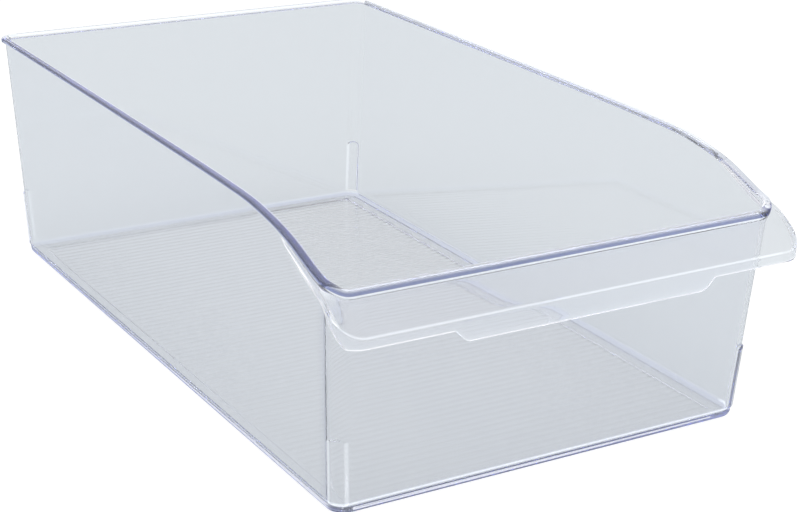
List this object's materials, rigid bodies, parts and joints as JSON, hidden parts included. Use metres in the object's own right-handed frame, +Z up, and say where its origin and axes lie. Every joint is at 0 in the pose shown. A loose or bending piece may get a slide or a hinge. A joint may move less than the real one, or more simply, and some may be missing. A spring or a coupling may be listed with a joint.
{
  "type": "fridge bin",
  "caption": "Clear moulded storage bin with tapered walls, ribbed floor, swept-down sides, low front and a hooked handle ledge with a grip tab.",
  "frame": {"origin": "centre of the flat underside", "axes": "+Z up, +Y to the high back, the handle points towards -Y, +X to the right when facing the handle's back"},
  "size_m": [0.2184, 0.3701, 0.1151],
  "materials": {
    "clear_plastic": "polished clear moulding, faint lavender tint in thick sections"
  },
  "bodies": {
    "root": {"back_wall": "clear_plastic", "base_edge_back": "clear_plastic", "base_edge_front": "clear_plastic", "base_edge_left": "clear_plastic", "base_edge_right": "clear_plastic", "corner_back_left": "clear_plastic", "corner_back_right": "clear_plastic", "corner_front_left": "clear_plastic", "corner_front_right": "clear_plastic", "corner_post_back_left": "clear_plastic", "corner_post_back_right": "clear_plastic", "corner_post_front_left": "clear_plastic", "corner_post_front_right": "clear_plastic", "floor_panel": "clear_plastic", "front_wall": "clear_plastic", "grip_tab": "clear_plastic", "handle_ledge": "clear_plastic", "handle_lip": "clear_plastic", "handle_wing_left": "clear_plastic", "handle_wing_right": "clear_plastic", "left_wall": "clear_plastic", "lip_corner_left": "clear_plastic", "lip_corner_right": "clear_plastic", "right_wall": "clear_plastic", "rim_back": "clear_plastic", "rim_corner_back_left": "clear_plastic", "rim_corner_back_right": "clear_plastic", "rim_corner_front_left": "clear_plastic", "rim_corner_front_right": "clear_plastic", "rim_front": "clear_plastic", "rim_left": "clear_plastic", "rim_right": "clear_plastic", "rim_sweep_left": "clear_plastic", "rim_sweep_right": "clear_plastic"}
  },
  "joints": []
}
